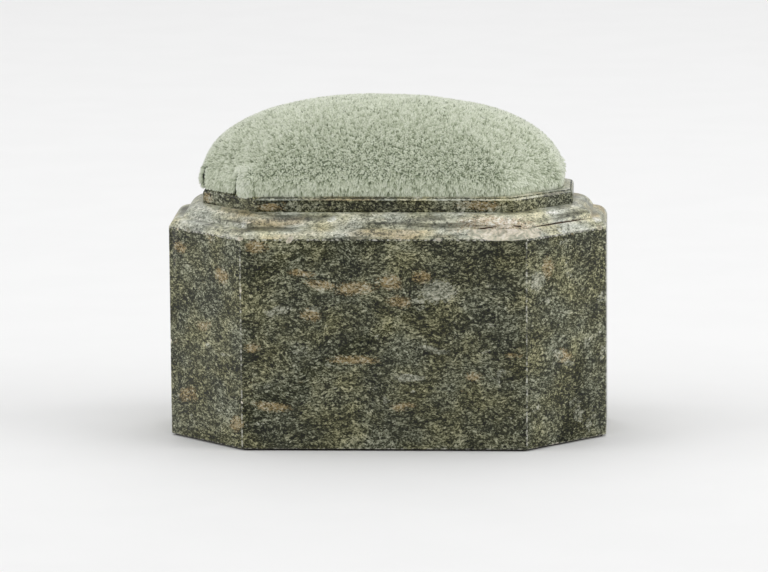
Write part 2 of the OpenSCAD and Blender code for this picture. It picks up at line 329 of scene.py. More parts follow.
def granite_minerals(tree, in_mm, tones):
    """The granite's minerals, in grains about 0.8 mm across and wavy beds. Gives colour and lightness."""
    # Broad folds bend the beds by up to 2 mm over some 12 mm.
    fold = add_node(tree, "TexNoise", {"Vector": in_mm, "Scale": 0.08, "Detail": 2.0}).outputs["Color"]
    ragged = add_node(tree, "TexNoise", {"Vector": in_mm, "Scale": 1.6, "Detail": 2.0}).outputs["Color"]
    folded = add_node(tree, "VectorMath", {0: fold, 1: (4.0, 4.0, 5.0), 2: in_mm},
                      operation="MULTIPLY_ADD").outputs[0]
    frayed = add_node(tree, "VectorMath", {0: ragged, 1: (0.8, 0.8, 0.6), 2: folded},
                      operation="MULTIPLY_ADD").outputs[0]
    beds = add_node(tree, "Mapping", {
        "Vector": frayed, "Rotation": (math.radians(5), math.radians(8), 0.3), "Scale": (0.62, 0.62, 1.0),
    }).outputs[0]
    # Grains of 0.8 mm and flecks of 0.4 mm, each with its own chance of being dark or light.
    grain = add_node(tree, "TexVoronoi", {"Vector": beds, "Scale": 1.5}).outputs["Color"]
    fleck = add_node(tree, "TexVoronoi", {"Vector": beds, "Scale": 2.9}).outputs["Color"]
    grain = add_node(tree, "SeparateColor", {0: grain})
    fleck = add_node(tree, "SeparateColor", {0: fleck})
    # Mica dust of 0.3 mm and zones of 8 mm that are richer in one mineral.
    dust = add_node(tree, "TexNoise", {"Vector": beds, "Scale": 2.6, "Detail": 2.0,
                                                 "Roughness": 0.65}).outputs["Fac"]
    zone = add_node(tree, "TexNoise", {"Vector": beds, "Scale": 0.13, "Detail": 3.0,
                                                 "Roughness": 0.6}).outputs["Fac"]
    parts = ((grain.outputs[0], 0.30), (fleck.outputs[1], 0.28), (dust, 1.15), (zone, 0.60))
    lightness = None
    for source, share in parts:
        lightness = add_node(tree, "Math", {
            0: source, 1: share, 2: -0.672 if lightness is None else lightness},
            operation="MULTIPLY_ADD").outputs[0]
    ground = add_node(tree, "ValToRGB", {0: lightness}, stops=(
        (0.22, tones[0]), (0.50, tones[1]), (0.74, tones[2]), (0.95, tones[3]))).outputs[0]
    warm = add_node(tree, "ValToRGB", {0: lightness}, stops=(
        (0.18, tones[0]), (0.48, tones[4]), (0.90, tones[3]))).outputs[0]
    pale = add_node(tree, "ValToRGB", {0: lightness}, stops=(
        (0.18, tones[1]), (0.45, tones[2]), (0.75, tones[3]))).outputs[0]
    # Zones lean to bluish grey or to olive.
    tint = add_node(tree, "TexNoise", {"Vector": folded, "Scale": 0.10, "Detail": 2.0}).outputs["Fac"]
    tint = add_node(tree, "ValToRGB", {0: tint}, stops=((0.35, "#FFF9DA"), (0.62, "#F4F5EE"))).outputs[0]
    colour = add_node(tree, "Mix", {0: 1.0, 6: ground, 7: tint}, data_type="RGBA",
                      blend_type="MULTIPLY").outputs[2]
    for kind, veins, shade, low in (("feldspar", 0.16, warm, 0.655), ("quartz", 0.21, pale, 0.665)):
        # Scattered small patches, and the larger ones at their places.
        spread = add_node(tree, "TexNoise", {"Vector": beds, "Scale": veins, "Detail": 2.0}).outputs[
            "Fac" if kind == "quartz" else "Color"]
        reach = add_node(tree, "MapRange", {"Value": spread, "From Min": low - 0.03, "From Max": low + 0.04,
                                                      "To Max": 0.8}).outputs[0]
        for x, y, z, half_length, half_height in PATCHES[kind]:
            there = add_node(tree, "Mapping", {
                "Vector": folded, "Location": (x + 2.0, y + 2.0, z + 2.5),
                "Scale": (half_length, max(half_length, 4.0), half_height)}, vector_type="TEXTURE").outputs[0]
            away = add_node(tree, "VectorMath", {0: there}, operation="LENGTH").outputs["Value"]
            near = add_node(tree, "MapRange", {"Value": away, "From Min": 1.25, "From Max": 0.55}).outputs[0]
            reach = add_node(tree, "Math", {0: reach, 1: near}, operation="MAXIMUM").outputs[0]
        # Grain by grain the patch breaks up towards its edge.
        broken = add_node(tree, "Math", {0: fleck.outputs[2], 1: 0.8, 2: reach},
                          operation="MULTIPLY_ADD").outputs[0]
        mask = add_node(tree, "MapRange", {"Value": broken, "From Min": 0.85, "From Max": 1.40,
                                                     "To Max": 0.85}).outputs[0]
        colour = add_node(tree, "Mix", {0: mask, 6: colour, 7: shade}, data_type="RGBA").outputs[2]
    return colour, lightness


def polished_granite(look):
    """Polished gneissic granite: cut by saw, ground and polished to a clear gloss that shows each grain."""
    material, tree, shader, in_mm = new_material("polished_granite")
    colour, lightness = granite_minerals(tree, in_mm, (
        look.dark_mineral, look.green_mineral, look.light_mineral, look.quartz, look.feldspar))
    gloss = add_node(tree, "MapRange", {"Value": lightness, "To Min": 0.30, "To Max": 0.20}).outputs[0]
    tree.links.new(gloss, shader.inputs["Roughness"])
    finish_shader(tree, shader, colour, lightness, 0.00004, 0.25, IOR=1.5, Specular_IOR_Level=0.22)
    return material


# The granite where its polish is thin or gone: dark, green, light, quartz and feldspar.
DULL_TONES = ("#5C5E53", "#BBBCB0", "#E5E4DB", "#F8F6F1", "#C8B08E")


def honed_granite_and_highlight():
    """Honed granite: the moulding was rubbed down by hand, so its polish is thin and its grains look pale. It
    also serves as a painted highlight along the collar's rim and a painted reflection on its flat top.
    """
    material, tree, shader, in_mm = new_material("honed_granite_and_highlight")
    colour, lightness = granite_minerals(tree, in_mm, DULL_TONES)
    # Pale and dark streaks about 1 mm high run along the moulding as painted highlight and painted shade, and
    # iron has stained it tan in places.
    for scale, place, stops in (
            ((0.05, 0.05, 0.60), (0, 0, 0), ((0.36, "#93958F"), (0.49, "#EEF1F1"), (0.60, "#FFFFFF"))),
            ((0.045, 0.045, 0.22), (9, 3, 5), ((0.54, "#FFFFFF"), (0.66, "#EEDFCB")))):
        along = add_node(tree, "Mapping", {"Vector": in_mm, "Location": place, "Scale": scale}).outputs[0]
        streaks = add_node(tree, "TexNoise", {"Vector": along, "Scale": 1.0, "Detail": 3.0}).outputs["Fac"]
        streaks = add_node(tree, "ValToRGB", {0: streaks}, stops=stops).outputs[0]
        colour = add_node(tree, "Mix", {0: 1.0, 6: colour, 7: streaks}, data_type="RGBA",
                          blend_type="MULTIPLY").outputs[2]
    finish_shader(tree, shader, colour, lightness, 0.00008, 0.35, IOR=1.5, Roughness=0.32)
    return material


def bruised_granite(look):
    """Granite along a knocked edge: its grains are crushed pale and its polish is lost in places."""
    material, tree, shader, in_mm = new_material("bruised_granite")
    colour, _ = granite_minerals(tree, in_mm, (
        look.dark_mineral, look.green_mineral, look.light_mineral, look.quartz, look.feldspar))
    knocks = add_node(tree, "TexNoise", {"Vector": in_mm, "Scale": 1.1, "Detail": 3.0}).outputs["Fac"]
    crushed = add_node(tree, "MapRange", {"Value": knocks, "From Min": 0.50, "From Max": 0.60,
                                                    "To Max": 0.65}).outputs[0]
    colour = add_node(tree, "Mix", {0: crushed, 6: colour, 7: linear("#D6D4C8")},
                      data_type="RGBA").outputs[2]
    finish_shader(tree, shader, colour, knocks, 0.00015, 0.5, IOR=1.5, Roughness=0.38)
    return material


def broken_granite():
    """A fresh break in granite: rough pinkish white crystal faces without any polish."""
    material, tree, shader, in_mm = new_material("broken_granite")
    colour, _ = granite_minerals(tree, in_mm, DULL_TONES)
    crystals = add_node(tree, "TexNoise", {"Vector": in_mm, "Scale": 0.45, "Detail": 4.0,
                                                     "Distortion": 0.8}).outputs["Fac"]
    fresh = add_node(tree, "ValToRGB", {0: crystals}, stops=(
        (0.34, "#787C6D"), (0.45, "#B0AD9B"), (0.53, "#D9CEBA"), (0.64, "#F1E9DD"))).outputs[0]
    colour = add_node(tree, "Mix", {0: 0.72, 6: colour, 7: fresh}, data_type="RGBA").outputs[2]
    finish_shader(tree, shader, colour, crystals, 0.0002, 0.6, IOR=1.5, Roughness=0.6)
    return material


def crack_shade():
    """Painted shade for the dark lines over the chip and along the step of the moulding: dark brown and dull.
    """
    material, tree, shader, in_mm = new_material("crack_shade")
    shade_mottle = add_node(tree, "TexNoise", {"Vector": in_mm, "Scale": 1.5, "Detail": 2.0}).outputs["Fac"]
    colour = add_node(tree, "ValToRGB", {0: shade_mottle}, stops=(
        (0.4, "#29231B"), (0.6, "#5A4736"))).outputs[0]
    finish_shader(tree, shader, colour, shade_mottle, 0.0001, 0.5, Roughness=0.9)
    return material


def wool_felt():
    """Pressed wool felt: matted dark brown fibres 0.1 mm thick, drawn at 0.4 mm so that they show."""
    material, tree, shader, in_mm = new_material("wool_felt")
    fibres = add_node(tree, "TexNoise", {"Vector": in_mm, "Scale": 2.5, "Detail": 4.0,
                                                   "Distortion": 2.0}).outputs["Fac"]
    colour = add_node(tree, "ValToRGB", {0: fibres}, stops=(
        (0.3, "#1D1916"), (0.55, "#2D2723"), (0.75, "#463D36"))).outputs[0]
    finish_shader(tree, shader, colour, fibres, 0.0003, 0.7, Roughness=0.95, Sheen_Weight=0.3)
    return material


def plush_pile(look):
    """Mohair plush: upright lustrous fibres, pale at their tips and darkened towards their roots as painted
    shade between the tufts.
    """
    material, tree, shader, _ = new_material("mohair_plush_pile")
    along = add_node(tree, "UVMap", uv_map="OFBake").outputs[0]
    along = add_node(tree, "SeparateXYZ", {0: along})
    # From root to tip the pile goes from painted shade to its pale tip colour; the tufts cast no shadows.
    height = add_node(tree, "ValToRGB", {0: along.outputs[1]}, stops=(
        (0.0, look.pile_root_shade), (0.5, "#CDD4BF"), (0.85, look.pile_tip), (1.0, "#F2F5EA"))).outputs[0]
    # The tufts squeezed into a pleat get painted shade from the dark end of this ramp, and every other tuft has
    # its own tone.
    tone_and_painted_light = add_node(tree, "ValToRGB", {0: along.outputs[0]}, stops=(
        (0.0, "#141811"), (0.08, "#4E5646"), (0.13, "#838B78"), (0.33, "#CDD2C3"), (0.58, "#F3F5EE"),
        (1.0, "#FFFFFF"))).outputs[0]
    colour = add_node(tree, "Mix", {0: 1.0, 6: height, 7: tone_and_painted_light}, data_type="RGBA",
                      blend_type="MULTIPLY").outputs[2]
    finish_shader(tree, shader, colour, Roughness=0.62, Sheen_Weight=0.35, Sheen_Roughness=0.4,
                  Specular_IOR_Level=0.35)
    return material


def plush_backing(look):
    """The woven ground of the plush: close cotton threads 0.35 mm apart, as dark as the pile's roots and
    darker, as painted shade between the tufts.
    """
    material, tree, shader, in_mm = new_material("mohair_plush_backing")
    turns = math.pi / 0.35
    split = add_node(tree, "SeparateXYZ", {0: in_mm})
    threads = None
    for axis in (0, 1, 2):
        angle = add_node(tree, "Math", {0: split.outputs[axis], 1: turns}, operation="MULTIPLY").outputs[0]
        wave = add_node(tree, "Math", {0: angle}, operation="SINE").outputs[0]
        threads = wave if threads is None else add_node(
            tree, "Math", {0: threads, 1: wave}, operation="MULTIPLY").outputs[0]
    colour = add_node(tree, "ValToRGB", {0: threads}, stops=(
        (0.0, "#707B65"), (1.0, look.pile_root_shade))).outputs[0]
    finish_shader(tree, shader, colour, threads, 0.0001, 0.5, Roughness=0.9, Sheen_Weight=0.3)
    return material


def unbleached_calico():
    """Unbleached calico: plain weave of cream cotton threads 0.4 mm apart, with dark specks of seed husk."""
    material, tree, shader, in_mm = new_material("unbleached_calico")
    warp = add_node(tree, "TexWave", {"Vector": in_mm, "Scale": 0.8, "Distortion": 0.6},
                    bands_direction="X").outputs["Fac"]
    weft = add_node(tree, "TexWave", {"Vector": in_mm, "Scale": 0.8, "Distortion": 0.6},
                    bands_direction="Y").outputs["Fac"]
    weave = add_node(tree, "Math", {0: warp, 1: weft}, operation="MULTIPLY").outputs[0]
    husks = add_node(tree, "TexNoise", {"Vector": in_mm, "Scale": 1.2}).outputs["Fac"]
    cloth = add_node(tree, "ValToRGB", {0: weave}, stops=(
        (0.0, "#C4B798"), (0.5, "#DDD2B8"), (1.0, "#EEE6D2"))).outputs[0]
    speck = add_node(tree, "MapRange", {"Value": husks, "From Min": 0.72, "From Max": 0.76,
                                                  "To Max": 0.7}).outputs[0]
    colour = add_node(tree, "Mix", {0: speck, 6: cloth, 7: linear("#7A6647")}, data_type="RGBA").outputs[2]
    finish_shader(tree, shader, colour, weave, 0.0001, 0.5, Roughness=0.9, Sheen_Weight=0.2)
    return material


def wool_wadding():
    """Combed wool wadding: matted cream fibres in soft locks about 3 mm across."""
    material, tree, shader, in_mm = new_material("wool_wadding")
    locks = add_node(tree, "TexNoise", {"Vector": in_mm, "Scale": 0.35, "Detail": 6.0, "Roughness": 0.7,
                                                  "Distortion": 1.5}).outputs["Fac"]
    colour = add_node(tree, "ValToRGB", {0: locks}, stops=(
        (0.3, "#A8997A"), (0.5, "#D2C5A6"), (0.7, "#ECE3CC"))).outputs[0]
    finish_shader(tree, shader, colour, locks, 0.0008, 0.8, Roughness=0.95, Sheen_Weight=0.4)
    return material


def sawn_pine():
    """A sawn pine board: growth rings 2 mm apart that run along the board as stripes, with a dull face."""
    material, tree, shader, in_mm = new_material("sawn_pine")
    heart = add_node(tree, "Mapping", {"Vector": in_mm, "Location": (0.0, 12.0, -60.0),
                                                 "Scale": (0.06, 1.0, 1.0)}).outputs[0]
    rings = add_node(tree, "TexWave", {"Vector": heart, "Scale": 0.16, "Distortion": 1.6, "Detail": 2.0},
                     wave_type="RINGS", rings_direction="X").outputs["Fac"]
    pores = add_node(tree, "TexNoise", {"Vector": heart, "Scale": 3.0, "Detail": 2.0}).outputs["Fac"]
    streak = add_node(tree, "Math", {0: pores, 1: 0.4, 2: rings}, operation="MULTIPLY_ADD").outputs[0]
    colour = add_node(tree, "ValToRGB", {0: streak}, stops=(
        (0.15, "#E2C594"), (0.7, "#D3AD74"), (1.0, "#A9773F"))).outputs[0]
    finish_shader(tree, shader, colour, pores, 0.0001, 0.4, Roughness=0.7)
    return material


def hide_glue():
    """Set hide glue: amber and glassy, with small bubbles and a wrinkled skin."""
    material, tree, shader, in_mm = new_material("hide_glue")
    depth = add_node(tree, "TexNoise", {"Vector": in_mm, "Scale": 0.12, "Detail": 3.0}).outputs["Fac"]
    bubbles = add_node(tree, "TexVoronoi", {"Vector": in_mm, "Scale": 0.9}).outputs["Distance"]
    colour = add_node(tree, "ValToRGB", {0: depth}, stops=(
        (0.3, "#6A4216"), (0.5, "#93632A"), (0.7, "#BC8B47"))).outputs[0]
    finish_shader(tree, shader, colour, bubbles, 0.0002, 0.4, IOR=1.53, Roughness=0.2, Coat_Weight=0.4)
    return material


def blued_steel():
    """Blued steel tack: cut from sheet and heated, blue-black with brown rust in its hollows."""
    material, tree, shader, in_mm = new_material("blued_steel")
    scale = add_node(tree, "TexNoise", {"Vector": in_mm, "Scale": 1.5, "Detail": 3.0}).outputs["Fac"]
    colour = add_node(tree, "ValToRGB", {0: scale}, stops=(
        (0.35, "#23262D"), (0.6, "#3C3F46"), (0.72, "#6B4630"))).outputs[0]
    finish_shader(tree, shader, colour, scale, 0.00005, 0.4, Metallic=1.0, Roughness=0.42)
    return material


# ---- Stone block -----------------------------------------------------------

def rough_lump(size, place, turn, roughness, grain, seed, detail=4):
    """A lump with a torn surface, which is cut out of the stone to leave a chip."""
    deselect_all()
    bpy.ops.mesh.primitive_ico_sphere_add(subdivisions=detail, radius=1.0)
    lump = bpy.context.object
    lump.data.transform(Matrix.LocRotScale(Vector(place), Euler(turn), Vector(size)))
    tear = bpy.data.textures.new("tear", "CLOUDS")
    tear.noise_scale = grain
    tear.noise_depth = 3
    offset = bpy.data.objects.new("tear_offset", None)
    bpy.context.scene.collection.objects.link(offset)
    offset.location = (seed * 0.37, seed * 0.21, seed * 0.11)
    bpy.context.view_layer.update()
    apply_modifier(lump, "DISPLACE", texture=tear, texture_coords="OBJECT", texture_coords_object=offset,
                   strength=roughness, mid_level=0.5, direction="NORMAL")
    bpy.data.objects.remove(offset)
    return lump


def edge_point(rng):
    """A random place on one of the block's edges, with the direction out of the stone."""
    corners = cut_outline(0.0)
    k = rng.choice([2, 3, 4, 4, 5, 5, 5, 5, 6, 6, 7, 0, 1, 1])
    a, b = corners[k], corners[(k + 1) % 8]
    level = None
    if rng.random() < 0.55:
        level = (ARRIS_Z, 0.8)
    elif rng.random() < 0.4:
        level = (STONE_BASE, -1.0)
    if level:
        p = a + (b - a) * rng.uniform(0.03, 0.97)
        facing = math.radians(45 * k + 45)
        outward = Vector((math.cos(facing), math.sin(facing), level[1]))
        return Vector((p[0], p[1], level[0])), outward.normalized()
    angle = math.radians(45 * k + 22.5)
    return Vector((a[0], a[1], rng.uniform(0.006, 0.06))), Vector((math.cos(angle), math.sin(angle), 0.0))


def cut_outline(inset):
    """The eight corners of the block's outline, moved in by an inset, anticlockwise from the +X end."""
    w, d = HALF_W - inset, HALF_D - inset
    cut = CORNER_CUT - inset * (2 - math.sqrt(2))
    return np.array([(w, d - cut), (w - cut, d), (cut - w, d), (-w, d - cut),
                     (-w, cut - d), (cut - w, -d), (w - cut, -d), (w, cut - d)])


class PINCUSHION_OT_stone_block(bpy.types.Operator):
    """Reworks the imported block: worn arrises, a large chip at the front right and small chips on the edges"""
    bl_idname = "pincushion.stone_block"
    bl_label = "Stone block"

    def execute(self, context):
        look = context.scene.pin_cushion_stone
        block = merged_copy("stone_block", "polished_block")
        for material in (polished_granite(look), bruised_granite(look), broken_granite(), honed_granite_and_highlight(),
                         crack_shade()):
            block.data.materials.append(material)

        # Round the arrises: the uprights, the edge of the moulding and the foot.
        def is_arris(a, b, faces):
            if len(faces) != 2 or faces[0].normal.angle(faces[1].normal, 0.0) < math.radians(12):
                return False
            upright = abs(a.z - b.z) > 0.05
            level = abs(a.z - b.z) < 1e-5
            return upright or (level and (a.z < STONE_BASE + 1e-5 or abs(a.z - ARRIS_Z) < 1e-5))

        select_edges(block, is_arris)
        bpy.ops.mesh.bevel(offset=look.arris_round, segments=2, affect="EDGES", material=BRUISED,
                            clamp_overlap=True)
        bpy.ops.object.mode_set(mode="OBJECT")

        # The rounds of the moulding are honed. The same pale granite is a painted highlight on a line along the
        # collar's rim and a painted reflection on its flat top.
        for polygon in block.data.polygons:
            z, up = polygon.center.z, polygon.normal.z
            rounds = ARRIS_Z + 0.0003 < z < COLLAR_TOP - 0.0043 and up > 0.02
            rim_highlight = COLLAR_TOP - 0.0010 < z < COLLAR_TOP - 0.0004 and up > 0.3 and polygon.normal.x > -0.3
            top_reflection = z > COLLAR_TOP - 0.0001 and up > 0.95
            if (rounds or rim_highlight or top_reflection) and polygon.material_index == POLISHED:
                polygon.material_index = HONED_AND_HIGHLIGHT

        # The large chip at the front right: a sloping break from the arris up to the foot of the upper round.
        lumps = [
            rough_lump((0.0115, 0.0042, 0.0025), (0.0350, -0.0358, 0.0661),
                       (math.radians(41), 0, 0), 0.0009, 0.0026, 1),
            rough_lump((0.0050, 0.0030, 0.0022), (0.0438, -0.0343, 0.0658),
                       (math.radians(41), 0, math.radians(38)), 0.0008, 0.0020, 2),
            # A smaller chip at the front left corner of the moulding.
            rough_lump((0.0022, 0.0012, 0.0010), (-0.0430, -0.0373, 0.0637),
                       (0.4, 0.2, 0.3), 0.0006, 0.0010, 4, 3),
        ]
        # Thin grooves over the chip, and one that runs on from it along the step of the moulding; their dark
        # colour is painted shade.
        shade_grooves = [
            rough_lump((0.0068, 0.00055, 0.00026), (0.0312, -0.0331, 0.0661),
                       (0, math.radians(-9), 0), 0.0003, 0.0012, 31, 3),
            rough_lump((0.0042, 0.00055, 0.00026), (0.0396, -0.0329, 0.0664),
                       (0, math.radians(8), 0), 0.0003, 0.0012, 32, 3),
            rough_lump((0.0145, 0.00050, 0.00034), (0.0508, -0.0229, 0.0658),
                       (0, 0, math.radians(45)), 0.0003, 0.0016, 33, 4),
        ]
        rng = random.Random(11)
        for i in range(look.small_chips):
            place, out = edge_point(rng)
            size = rng.uniform(0.0005, 0.0011)
            lumps.append(rough_lump((size * rng.uniform(1.0, 1.8), size, size * rng.uniform(0.7, 1.2)),
                                    place + out * size * 0.45, (rng.uniform(0, 3), rng.uniform(0, 3), 0),
                                    size * 0.5, size, 5 + i, 2))
        deselect_all()
        for lump in lumps + shade_grooves:
            lump.select_set(True)
            lump.data.materials.clear()
            for material in block.data.materials:
                lump.data.materials.append(material)
            for polygon in lump.data.polygons:
                # The grooves take the dark material as painted shade, and the chips take the broken granite.
                polygon.material_index = CRACK_SHADE if lump in shade_grooves else BROKEN
        bpy.context.view_layer.objects.active = lumps[0]
        bpy.ops.object.join()
        apply_modifier(block, "BOOLEAN", object=lumps[0], operation="DIFFERENCE", solver="EXACT",
                       use_self=True, material_mode="INDEX")
        bpy.data.objects.remove(lumps[0])
        make_active(block)
        bpy.ops.object.shade_smooth_by_angle(angle=math.radians(22))
        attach(block, "root")
        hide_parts("stone_block")
        return {"FINISHED"}


class PINCUSHION_OT_base_felt(bpy.types.Operator):
    """Lays the felt under the block, with its cut edge softened"""
    bl_idname = "pincushion.base_felt"
    bl_label = "Base felt"

    def execute(self, context):
        felt = merged_copy("base_felt", "felt_pad")
        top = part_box("base_felt")[1].z
        select_edges(felt, lambda a, b, faces: abs(a.z - b.z) < 1e-6)
        bpy.ops.mesh.bevel(offset=top * 0.25, segments=2, affect="EDGES")
        bpy.ops.object.mode_set(mode="OBJECT")
        felt.data.materials.append(wool_felt())
        make_active(felt)
        bpy.ops.object.shade_smooth_by_angle(angle=math.radians(30))
        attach(felt, "root")
        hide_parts("base_felt")
        return {"FINISHED"}


# ---- Cushion ---------------------------------------------------------------

def rounded_outline(inset, radius, count):
    """The block's outline moved in by an inset and rounded, as evenly spaced points from the middle of +X."""
    line = []
    for k, centre in enumerate(cut_outline(inset + radius)):
        for step in range(13):
            angle = math.radians(45 * k + 45 * step / 12)
            line.append(centre + radius * np.array([math.cos(angle), math.sin(angle)]))
    start = np.array([HALF_W - inset, 0.0])
    line = np.array([start] + line + [start])
    along = np.concatenate([[0], np.cumsum(np.linalg.norm(np.diff(line, axis=0), axis=1))])
    wanted = np.linspace(0, along[-1], count, endpoint=False)
    return np.column_stack([np.interp(wanted, along, line[:, i]) for i in (0, 1)])


def dome_ring(inset, share, oval, z, count):
    """A ring of the dome: an outline shrunk by a share and eased towards an oval, at a height."""
    w, d = HALF_W - inset, HALF_D - inset
    p = rounded_outline(inset, CORNER_ROUND, count)
    angle = np.arctan2(p[:, 1] / d, p[:, 0] / w)
    oval_p = np.column_stack([w * np.cos(angle), d * np.sin(angle)])
    q = share * (p * (1 - oval) + oval_p * oval)
    return np.column_stack([q[:, 0] + CUSHION_X, q[:, 1], np.full(count, z)])


def dome_section(rise, count):
    """Shares, ovals and rises of the dome's rings from near the crown down, about evenly spaced."""
    u = np.radians(np.linspace(90, 0, 400))
    share, lift = np.cos(u) ** (2 / FULLNESS), np.sin(u) ** (2 / FULLNESS)
    share[0] = 0.0
    run = np.concatenate([[0], np.cumsum(np.hypot(np.diff(share) * HALF_D, np.diff(lift) * rise))])
    wanted = np.linspace(0, run[-1], count + 1)[1:]
    return [np.interp(wanted, run, v) for v in (share, np.sin(u) ** 1.2, lift * rise)]


def wrapped_shell(name, depth, below, rings, count, closed=False):
    """A wrapped layer as a grid: a dome, and rings below it at given insets and heights, closed or open."""
    rise = CROWN_Z - depth - SWELL_Z
    rows = [dome_ring(SWELL_INSET + depth, share, oval, SWELL_Z + z, count)
            for share, oval, z in zip(*dome_section(rise, rings))]
    rows += [dome_ring(inset, 1.0, 0.0, z, count) for inset, z in below]
    crown, middle = [[CUSHION_X, 0.0, SWELL_Z + rise]], [[CUSHION_X, 0.0, rows[-1][0, 2]]]
    points = np.vstack([crown] + rows + [middle] * closed)
    faces = [(0, 1 + k, 1 + (k + 1) % count) for k in range(count)]
    for r in range(len(rows) - 1):
        a, b = 1 + r * count, 1 + (r + 1) * count
        faces += [(a + k, b + k, b + (k + 1) % count, a + (k + 1) % count) for k in range(count)]
    if closed:
        last = len(points) - 1
        faces += [(last, b + (k + 1) % count, b + k) for k in range(count)]
    return mesh_piece(name, points, faces)


def turned_in(depth, tuck, sill_z, wrap, base_z, turn):
    """Insets and heights of a cloth below its swell: over the rim, down the board's edge and under it."""
    outer, drop = SWELL_INSET + depth, SWELL_Z - sill_z
    return [(outer + tuck * 0.10, SWELL_Z - drop * 0.35), (outer + tuck * 0.35, SWELL_Z - drop * 0.7),
            (outer + tuck * 0.7, sill_z + drop * 0.06), (outer + tuck + 0.0006, sill_z),
            ((outer + tuck + wrap) / 2, sill_z), (wrap, sill_z), (wrap, (sill_z + base_z) / 2),
            (wrap, base_z), (wrap + turn * 0.5, base_z), (wrap + turn, base_z)]


def inflate(cover, pressure, limit):
    """Puffs a cover out over its stuffing by a short cloth simulation, with its lower edge held."""
    before = np.array([v.co for v in cover.data.vertices])
    held = cover.vertex_groups.new(name="held")
    held.add([v.index for v in cover.data.vertices if v.co.z < SWELL_Z - 0.0009], 1.0, "REPLACE")
    make_active(cover)
    cloth = cover.modifiers.new("Cloth", "CLOTH")
    cloth.settings.quality = 5
    cloth.settings.mass = 0.3
    cloth.settings.vertex_group_mass = "held"
    cloth.settings.use_pressure = True
    cloth.settings.uniform_pressure_force = pressure
    cloth.settings.tension_stiffness = 25
    cloth.settings.compression_stiffness = 25
    cloth.settings.bending_stiffness = 2.0
    cloth.settings.effector_weights.gravity = 0.0
    cloth.collision_settings.use_collision = False
    cloth.point_cache.frame_start, cloth.point_cache.frame_end = 1, 20
    for step in range(1, 21):
        bpy.context.scene.frame_set(step)
    bpy.ops.object.modifier_apply(modifier=cloth.name)
    after = np.array([v.co for v in cover.data.vertices])
    move = after - before
    length = np.linalg.norm(move, axis=1, keepdims=True)
    move *= np.minimum(1.0, limit / np.maximum(length, 1e-9))
    cover.data.vertices.foreach_set("co", (before + move).ravel())
    bpy.context.scene.frame_set(1)
    cover.vertex_groups.clear()


# Pleats where the plush is gathered round the corners of the board: the corner's number, then in mm how deep
# the fold is, its width, its height and its place along the edge from the corner, and its lean in mm per mm.
PLEATS = (
    (5, 1.3, 0.55, 7.0, 8.4, 0.36), (5, 0.75, 0.40, 5.5, -0.7, 0.0), (4, 1.2, 0.6, 8.0, -0.6, -0.05),
    (6, 0.45, 0.5, 5.0, 0.5, -0.05), (7, 0.55, 0.6, 6.0, 1.0, -0.1), (0, 0.8, 0.6, 7.0, -1.0, 0.1),
    (1, 0.8, 0.6, 6.0, 1.0, 0.1), (2, 0.9, 0.6, 7.0, -1.2, -0.1), (3, 0.8, 0.6, 6.5, 0.8, 0.1),
)
# Soft folds that stand out beside a pleat: the corner's number, then in mm how far it stands out, its half
# width, its height, its place along the edge and how far its lower edge drops.
FOLDS = ((5, 1.7, 3.3, 7.5, 3.8, 2.1), (4, 0.5, 1.6, 6.0, 1.2, 0.2), (2, 0.8, 2.0, 6.0, 1.6, 0.3),
         (0, 0.6, 1.8, 6.0, 1.8, 0.2))


def along_edge(p, corner):
    """How far each point lies along the lower edge from a corner, in mm, and if it is near it."""
    corners = cut_outline(SWELL_INSET) + np.array([CUSHION_X, 0.0])
    here, before, after = corners[corner], corners[corner - 1], corners[(corner + 1) % 8]
    away = p[:, :2] - here
    back = away @ ((before - here) / np.linalg.norm(before - here))
    on = away @ ((after - here) / np.linalg.norm(after - here))
    near = (np.linalg.norm(away, axis=1) < 0.016) & (p[:, 2] > SILL_Z - 0.0006)
    return (np.maximum(back, 0) - np.maximum(on, 0)) * 1000, near


def pleat_share(p, pleat):
    """How far into a pleat each point lies, 1 at its bottom and 0 away from it, and if between its walls."""
    corner, _, width, tall, along, lean = pleat
    height = (p[:, 2] - SILL_Z) * 1000
    s, near = along_edge(p, corner)
    across = (s - along + lean * height) / width
    share = near * np.exp(-across ** 2) * np.clip(1 - height / tall, 0, 1) ** 0.7
    return share, near * np.exp(-(across / 2.4) ** 4) * np.clip((tall - height) / 1.5, 0, 1)


def gather_pleats(cover):
    """Draws a cover in at its pleats and out at its folds, and gives it the small dents of hand stuffing."""
    p = np.array([v.co for v in cover.data.vertices])
    normals = np.array([v.normal for v in cover.data.vertices])
    height = (p[:, 2] - SILL_Z) * 1000
    out = np.column_stack([p[:, 0] - CUSHION_X, p[:, 1] * 1.6, np.zeros(len(p))])
    out /= np.maximum(np.linalg.norm(out, axis=1, keepdims=True), 1e-9)
    move, crease, fold = np.zeros_like(p), np.zeros(len(p)), np.zeros(len(p))
    for pleat in PLEATS:
        share, between = pleat_share(p, pleat)
        crease = np.maximum(crease, between * np.clip(pleat[1] - 0.2, 0, 1))
        move -= out * (pleat[1] * 0.001 * share)[:, None]
    for corner, stand, width, tall, along, drop in FOLDS:
        s, near = along_edge(p, corner)
        across = near * np.exp(-((s - along) / width) ** 4)
        fade = np.clip(1 - height / tall, 0, 1)
        swell = np.sin(math.pi * np.minimum(1, 0.35 + 0.65 * fade)) * (fade > 0)
        fold = np.maximum(fold, across * swell * min(1.0, stand / 1.5))
        move += out * (stand * 0.001 * across * swell)[:, None]
        move[:, 2] -= drop * 0.001 * across * np.clip(1 - height / 4, 0, 1)
    dents = np.array([noise.noise(Vector((x * 70, y * 90, z * 60))) for x, y, z in p])
    move += normals * (dents * 0.00035 * (height > 3))[:, None]
    cover.data.vertices.foreach_set("co", (p + move).ravel())
    # The crease marks where the pile gets painted shade and the fold where it gets a painted highlight; both
    # also shape the tufts.
    for name, values in (("crease", crease), ("fold", fold)):
        cover.data.attributes.new(name, "FLOAT", "POINT").data.foreach_set("value", values)


